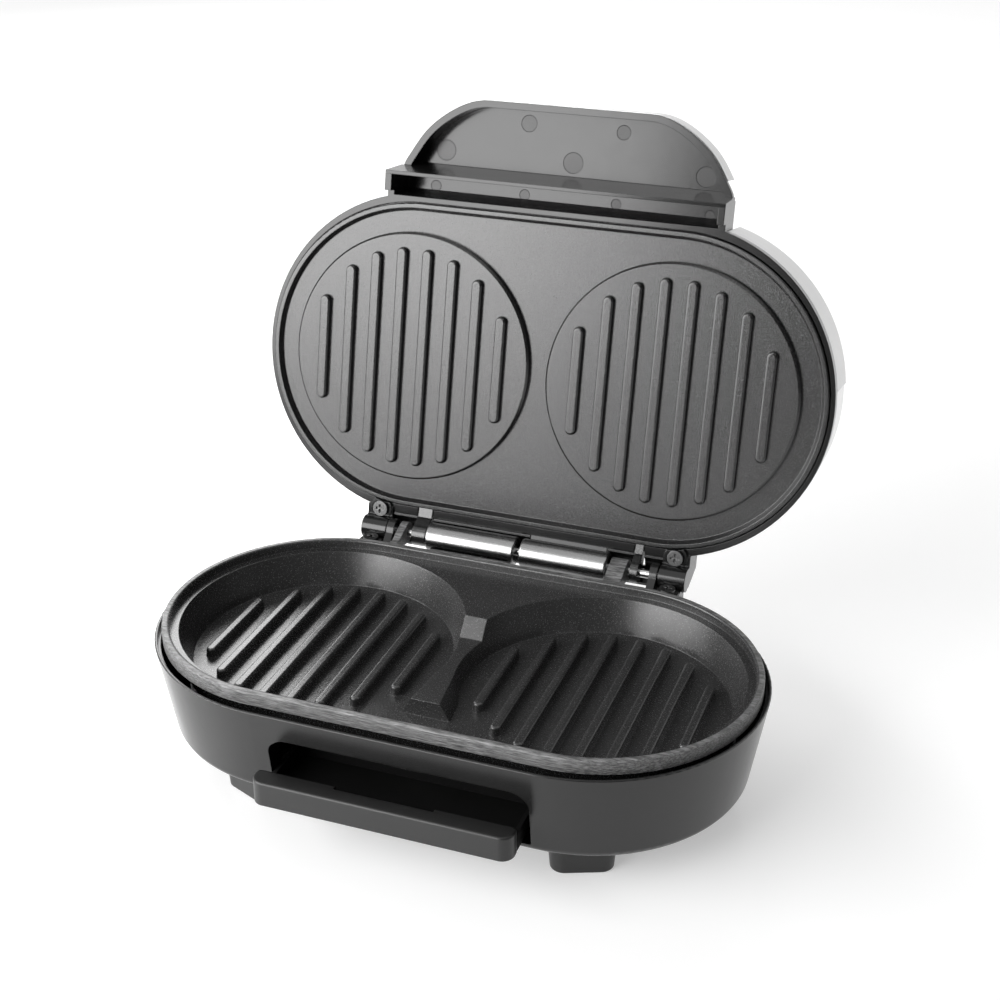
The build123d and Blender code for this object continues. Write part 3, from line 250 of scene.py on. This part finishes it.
# %% [markdown]
# ## Glossy moulded plastic
#
# The two housings are injection moulded in black and polished in the mould. Real gloss plastic is
# never a perfect mirror: it has a faint ripple, a little haze and fine dust. A single dark colour
# would look like a hole in the picture, so the tone drifts by a few percent, and the ripple is a
# bump a few thousandths of a millimetre high.
#
# The inside of the handle and the roof of the channel behind its bar show round marks where pins
# pushed the moulding out of its tool. Each is a flat disc about a sixth of a millimetre deep
# with a duller gloss: the distance to its middle, cut off at its radius.

# %% Gloss black
PIN_MARKS = [
    (-0.0592, -0.0911, 0.0045), (-0.0210, -0.1059, 0.0036), (0.0223, -0.1056, 0.0031),
    (0.0006, -0.0907, 0.0045), (0.0603, -0.0902, 0.0043), (-0.0596, -0.0756, 0.0024),
    (-0.0177, -0.0756, 0.0023), (0.0241, -0.0756, 0.0022), (0.0656, -0.0750, 0.0021),
]
PIN_EDGE = 0.00012
PIN_DEPTH = 0.16
PIN_DULLNESS = 0.09


def pin_discs(sheet, place):
    """1 inside a pin mark and 0 outside."""
    flat = sheet.stretched(place, (1.0, 1.0, 0.0))
    discs = 0.0
    for x, y, radius in PIN_MARKS:
        away = sheet.node("VectorMath", {"operation": "DISTANCE"}, {0: flat, 1: (x, y, 0.0)}, output=1)
        discs = away.rises(radius + PIN_EDGE, radius - PIN_EDGE) + discs
    return discs


def gloss_plastic(coordinates, tone, roughness, ripple, marks=False):
    """Polished plastic: cloudy tone, hazy gloss and a shallow ripple."""
    def paint(sheet):
        place = coordinates(sheet)
        cloud = sheet.grain(place, 0.030)
        haze = sheet.grain(place, 0.006, detail=4.0)
        height = sheet.grain(place, 0.004) * ripple
        rough = roughness + 0.05 * (haze - 0.5)
        if marks:
            discs = pin_discs(sheet, place)
            height = height - discs * PIN_DEPTH
            rough = rough + discs * PIN_DULLNESS
        return {
            "Base Color": sheet.tone(tone * (0.9 + 0.2 * cloud)),
            "Roughness": rough,
            "Specular IOR Level": 0.5,
            "Height": height,
            "Edge": 0.0005,
        }
    return paint


dress(surface("base gloss black", gloss_plastic(on_base, 0.012, 0.21, 0.010)), "base_housing")
dress(surface("lid gloss black", gloss_plastic(on_lid, 0.008, 0.16, 0.008, marks=True)), "lid_housing")

# %% [markdown]
# ## Satin moulded plastic
#
# The drip tray, the feet and the cover underneath have a fine spark-eroded texture: thousands of
# tiny rounded pits that spread the light. It is a fine noise in the bump and a high roughness.

# %% Satin black
def satin_plastic(coordinates, tone, roughness):
    """Finely textured plastic."""
    def paint(sheet):
        place = coordinates(sheet)
        pits = sheet.grain(place, 0.00035, detail=1.0)
        cloud = sheet.grain(place, 0.012)
        return {
            "Base Color": sheet.tone(tone * (0.85 + 0.3 * cloud)),
            "Roughness": roughness + 0.10 * (cloud - 0.5),
            "Height": pits * 0.03,
            "Edge": 0.0006,
        }
    return paint


satin = surface("satin black", satin_plastic(on_base, 0.014, 0.34))
dress(satin, "drip_tray", "foot_front_left", "foot_front_right", "foot_back_left", "foot_back_right")
under = surface("underside black", satin_plastic(on_base, 0.025, 0.50))
dress(under, "base_cover", "tray_guide", "lamp_carrier")

# %% [markdown]
# ## Matt black behind the bar
#
# The room behind the tray's bar is nearly black: little light gets in. So the faces of the
# housing inside its grip recess and the faces of the tray behind the bar get a second finish,
# a painted shade: a black darker than the gloss plastic, with a rough, dull gloss that hardly
# mirrors. A face is picked by the place of its middle: the front wall of the housing leans, so
# "behind the wall" grows with the height.

# %% Painted shade behind the bar
HOUSING_BOTTOM = 0.0155
HOUSING_FRONT = -0.0658
WALL_LEAN = 0.162
JUST_BEHIND = 0.0010
RECESS_BACK = -0.0590
RECESS_LEFT = -0.0535
RECESS_RIGHT = 0.0565
RECESS_TOP = 0.0435
BAR_BACK = -0.0775


def shade_plastic(coordinates, tone):
    """Painted shade: a black darker than the gloss plastic, rough and hardly mirroring at all."""
    def paint(sheet):
        cloud = sheet.grain(coordinates(sheet), 0.010)
        return {
            "Base Color": sheet.tone(tone * (0.8 + 0.4 * cloud)),
            "Roughness": 0.65 + 0.10 * (cloud - 0.5),
            "Specular IOR Level": 0.15,
        }
    return paint


def in_recess(x, y, z):
    """Faces of the housing behind its leaning front wall, inside the mouth of the recess."""
    depth = y - GRIDDLE_Y
    wall = HOUSING_FRONT - WALL_LEAN * (z - HOUSING_BOTTOM)
    between = (x > RECESS_LEFT) & (x < RECESS_RIGHT) & (z < RECESS_TOP)
    return between & (depth > wall + JUST_BEHIND) & (depth < RECESS_BACK)


def behind_bar(x, y, z):
    """Faces of the tray behind its bar."""
    return y - GRIDDLE_Y > BAR_BACK


# Painted shade: a darker black inside the grip recess and behind the bar, where little light gets in.
recess_shade = surface("recess painted shade", shade_plastic(on_base, 0.006))
dress_faces(recess_shade, "base_housing", in_recess)
dress_faces(recess_shade, "drip_tray", behind_bar)

# %% [markdown]
# ## Non-stick coating
#
# The griddle plates are cast aluminium, sprayed with a dark coating that holds fine metallic
# flakes. The coat is almost black and shines: what makes it look grey is the light that it
# mirrors, and that falls away where it mirrors something dark. The flakes are a fine speckle that
# is a little brighter, and the sprayed film is slightly lumpy, like orange peel, which is what
# breaks the mirror image up.
#
# The outer side of the lower rim is machined after casting. Its fine grooves run along the rim,
# so the noise there is drawn out along the long straight side. The band is where the distance
# from the middle line and the height are both past their limits.

# %% The coating
RIM_SIDE = (0.0640, 0.0646)
RIM_FOOT = (0.0525, 0.0535)
LINE_WIDTH = 0.00045
ALONG_RIM = (0.06, 0.5, 1.0)


def coating(coordinates, tone, roughness, machined_band):
    """Sprayed coat with speckle. machined_band adds the fine lines outside the rim."""
    def paint(sheet):
        place = coordinates(sheet)
        speckle = sheet.grain(place, 0.00055, detail=3.0, roughness=0.75)
        flakes = speckle.rises(0.56, 0.70)
        cloud = sheet.grain(place, 0.020)
        bright = tone * (0.8 + 0.3 * cloud + 3.5 * flakes)
        rough = roughness + 0.10 * (speckle - 0.5) + 0.06 * flakes
        height = speckle * 0.05
        if machined_band:
            x, y, z = split(sheet, place)
            band = capsule_distance(sheet, x, y).rises(*RIM_SIDE) * z.rises(*RIM_FOOT)
            drawn = sheet.stretched(place, ALONG_RIM)
            lines = sheet.grain(drawn, LINE_WIDTH, detail=3.0, roughness=0.8)
            bright = bright * (1.0 - band) + band * (0.03 + 0.22 * lines.rises(0.35, 0.70))
            rough = rough + band * 0.14
            height = height * (1.0 - band) + band * lines * 0.30
        return {
            "Base Color": sheet.tone(bright),
            "Roughness": rough,
            "Specular IOR Level": 0.75,
            "Height": height,
            "Edge": 0.0005,
        }
    return paint


dress(surface("lower coating", coating(on_base, 0.026, 0.25, True)), "lower_plate")
dress(surface("upper coating", coating(on_lid, 0.012, 0.19, False)), "upper_plate")

# %% [markdown]
# ## Silver covers
#
# The outside of the lid is silver: a satin front shell that runs up into the handle and a
# brighter rear shell. Silver paint on plastic is clear lacquer over metal flakes, so it is mostly
# metallic, with a coat that is smoother than the flakes below it.

# %% Silver paint
def silver_paint(tone, roughness):
    """Metal flakes under clear lacquer."""
    def paint(sheet):
        place = on_lid(sheet)
        flakes = sheet.grain(place, 0.0004, detail=1.0)
        cloud = sheet.grain(place, 0.03)
        return {
            "Base Color": sheet.tone(tone * (0.92 + 0.10 * flakes + 0.06 * cloud)),
            "Roughness": roughness + 0.08 * (flakes - 0.5),
            "Metallic": 0.7,
            "Coat Weight": 0.3,
            "Coat Roughness": 0.15,
            "Height": flakes * 0.006,
            "Edge": 0.0006,
        }
    return paint


dress(surface("silver front cover", silver_paint(0.62, 0.34)), "lid_cover_front")
dress(surface("silver rear cover", silver_paint(0.80, 0.25)), "lid_cover_rear")

# %% [markdown]
# ## Metal parts
#
# The hinge barrels are satin metal sleeves drawn through a die, so their fine scratches run along
# them. Screws are plated steel, the ear screws are blackened. The heat shields are zinc-plated
# sheet, with the large pale crystals that plating leaves.

# %% Metals
def metal(coordinates, tone, roughness, along, scratch, size=0.0004):
    """Bare metal with scratches drawn out along one axis."""
    def paint(sheet):
        place = sheet.stretched(coordinates(sheet), along)
        scratches = sheet.grain(place, size, detail=3.0, roughness=0.6)
        stain = sheet.grain(place, size * 25)
        return {
            "Base Color": sheet.tone(tone * (0.85 + 0.15 * scratches + 0.15 * stain)),
            "Roughness": roughness + 0.15 * (scratches - 0.5) + 0.08 * (stain - 0.5),
            "Metallic": 1.0,
            "Height": scratches * scratch,
            "Edge": 0.0003,
        }
    return paint


ALONG_X = (0.05, 1.0, 1.0)
EVEN = (1.0, 1.0, 1.0)
dress(surface("base barrel", metal(on_base, 0.31, 0.27, ALONG_X, 0.02)), "base_hinge_barrel")
dress(surface("lid barrel", metal(on_lid, 0.30, 0.27, ALONG_X, 0.02)), "lid_hinge_barrel")
dress(surface("pin steel", metal(on_base, 0.55, 0.22, EVEN, 0.01)), "hinge_pin")
dress(
    surface("screw steel", metal(on_base, 0.50, 0.28, EVEN, 0.01)),
    "lower_plate_screws", "foot_screws", "lower_strap_screws", "terminal_screws",
    "upper_plate_screws", "upper_strap_screws", "lamp_carrier_screws",
)
blackened = surface("blackened steel", metal(on_base, 0.16, 0.30, EVEN, 0.01))
dress(blackened, "base_ear_screws", "lid_ear_screws")
dress(
    surface("zinc sheet", metal(on_base, 0.55, 0.42, EVEN, 0.01, size=0.004)),
    "lower_heat_shield", "upper_heat_shield", "lower_element_straps", "upper_element_straps",
    "thermostat_bracket",
)
dress(
    surface("element tube", metal(on_base, 0.20, 0.55, EVEN, 0.05, size=0.002)),
    "lower_left_element", "lower_right_element", "upper_left_element", "upper_right_element",
)

# %% [markdown]
# ## The brackets of the barrels
#
# Each barrel sits on a bracket that is blackened like the ears, and only the sleeve is bright. Both
# are one solid, so the bracket's faces get the dark finish by their distance from the hinge axis.

# %% Dark brackets
SLEEVE_EDGE = 0.0067


def off_the_sleeve(x, y, z):
    """Faces of a bracket: farther from the hinge axis than the surface of the sleeve."""
    return np.hypot(y - HINGE[1], z - HINGE[2]) > SLEEVE_EDGE


dark_bracket = surface("bracket black", metal(on_base, 0.05, 0.35, EVEN, 0.01))
dress_faces(dark_bracket, "base_hinge_barrel", off_the_sleeve)
dress_faces(dark_bracket, "lid_hinge_barrel", off_the_sleeve)

# %% [markdown]
# ## Rubber, wiring and lenses
#
# What is left is small: rubber pads and bushing, sleeved wires, a brown moulded thermostat, a
# white terminal block, two lamps and their coloured lenses. Each gets its own dull or clear
# finish, with a fine grain so that no piece is one flat colour.

# %% Small finishes
def plain(colour, roughness, size=0.001, relief=0.02, **more):
    """A coloured, slightly grainy moulding."""
    def paint(sheet):
        place = sheet.node("TexCoord").other("Object")
        lumps = sheet.grain(place, size)
        dark = tuple(0.8 * c for c in colour) + (1.0,)
        mixed = sheet.node(
            "Mix", {"data_type": "RGBA"}, {0: lumps, 6: dark, 7: tuple(colour) + (1.0,)}, output=2
        )
        rough = roughness + 0.1 * (lumps - 0.5)
        return {"Base Color": mixed, "Roughness": rough, "Height": lumps * relief, **more}
    return paint


dress(surface("pad rubber", plain((0.03, 0.03, 0.03), 0.8, size=0.0006, relief=0.06)), "foot_pads")
dress(surface("bushing rubber", plain((0.03, 0.03, 0.03), 0.6)), "cord_bushing")
dress(surface("wire sleeve", plain((0.60, 0.58, 0.52), 0.6)), "base_wires", "lid_wires")
dress(surface("thermostat resin", plain((0.16, 0.07, 0.03), 0.4)), "thermostat")
dress(surface("fuse glass resin", plain((0.45, 0.36, 0.20), 0.35)), "thermal_fuse")
dress(surface("terminal ceramic", plain((0.75, 0.73, 0.68), 0.35)), "terminal_block")
dress(surface("lamp glass", plain((0.80, 0.45, 0.25), 0.10, relief=0.0)), "indicator_lamps")
CLEAR_COAT = {"Coat Weight": 0.6}
dress(surface("red lens", plain((0.45, 0.02, 0.02), 0.12, relief=0.0, **CLEAR_COAT)), "power_lens")
dress(surface("green lens", plain((0.02, 0.30, 0.06), 0.12, relief=0.0, **CLEAR_COAT)), "ready_lens")

# %% [markdown]
# ## The studio
#
# The floor is a pale sheet with a soft gloss, which gives the faint mirror image under the front.
# The photograph's background is pure white. More light on the floor would also wash out the
# cooker, so the floor and the sky glow for the rays that come from the camera or from a
# reflection, and only those. The shadow stays, because the glow is added to the lit floor.
#
# A studio is dark beside its lamp. The right half of the open lid and the right wall mirror that
# dark side, so the sky fades there for reflected rays: a dot product with a direction to the
# right gives how far round a ray points.

# %% Floor and sky
def glow_rays(sheet):
    """1 for rays from the camera or a reflection, 0 for the rays that carry soft light."""
    paths = sheet.node("LightPath")
    return paths.larger(paths.other("Is Glossy Ray")).larger(paths.other("Is Transmission Ray"))


FLOOR_HALF = 6.0
FLOOR_TONE = 0.80
FLOOR_GLOSS = 0.22
FLOOR_GLOW = 0.36
floor_mesh = bpy.data.meshes.new("floor")
corners = np.array([(-1, -1), (1, -1), (1, 1), (-1, 1)]) * FLOOR_HALF
floor_mesh.from_pydata([(x, y, 0.0) for x, y in corners], [], [(0, 1, 2, 3)])
floor = bpy.data.objects.new("floor", floor_mesh)
bpy.context.scene.collection.objects.link(floor)

floor_material = bpy.data.materials.new("pale floor")
floor_material.use_nodes = True
sheet = Sheet(floor_material.node_tree)
floor_colour = (FLOOR_TONE, FLOOR_TONE, FLOOR_TONE, 1.0)
lit = sheet.node("BsdfPrincipled", values={"Base Color": floor_colour, "Roughness": FLOOR_GLOSS})
glow = sheet.node("Emission", values={"Strength": glow_rays(sheet) * FLOOR_GLOW})
both = sheet.node("AddShader", values={0: lit, 1: glow})
sheet.node("OutputMaterial", values={"Surface": both})
floor_mesh.materials.append(floor_material)

SKY = 0.30
DARK_WAY = (0.77, -0.64, 0.0)
DARK_EDGE = (0.42, 0.53)
DARKNESS = 0.92
world = bpy.data.worlds.new("studio")
world.use_nodes = True
bpy.context.scene.world = world
sheet = Sheet(world.node_tree)
direction = sheet.node("TexCoord")
along = {0: direction, 1: DARK_WAY}
toward_dark = sheet.node("VectorMath", {"operation": "DOT_PRODUCT"}, along, output=1)
dark_side = toward_dark.rises(*DARK_EDGE)
paths = sheet.node("LightPath")
reflected = paths.other("Is Glossy Ray").larger(paths.other("Is Transmission Ray"))
strength = SKY + (1.0 - SKY) * glow_rays(sheet) - DARKNESS * reflected * dark_side
sky = sheet.node("Background", values={"Color": (1.0, 1.0, 1.0, 1.0), "Strength": strength})
sheet.node("OutputWorld", values={"Surface": sky})
print("floor and sky ready")

# %% [markdown]
# ## The lights
#
# One large soft box stands in front on the left, as the bright left sides and the shadow to the
# right show. The open lid mirrors it: its right edge is where the plate turns dark, and its lower
# edge is where the plate darkens towards the hinge. A second, weaker one stands behind on the
# left: the left bowl mirrors it, and it draws the light edges of the rims.

# %% Soft boxes
def soft_box(name, place, aim, width, height, power):
    """A rectangular lamp at place, turned towards aim."""
    lamp_data = bpy.data.lights.new(name, "AREA")
    lamp_data.shape = "RECTANGLE"
    lamp_data.size = width
    lamp_data.size_y = height
    lamp_data.energy = power
    lamp = bpy.data.objects.new(name, lamp_data)
    bpy.context.scene.collection.objects.link(lamp)
    lamp.location = place
    lamp.rotation_euler = (Vector(aim) - Vector(place)).to_track_quat("-Z", "Y").to_euler()
    print(name, "power", power)


ABOVE_LID = (0.0, 0.0, 0.35)
MIDDLE = (0.0, 0.0, 0.08)
soft_box("left soft box", (-1.04, -1.09, 0.74), ABOVE_LID, width=1.88, height=1.30, power=51.0)
soft_box("back soft box", (-0.95, 1.05, 0.85), MIDDLE, width=1.0, height=0.8, power=14.0)
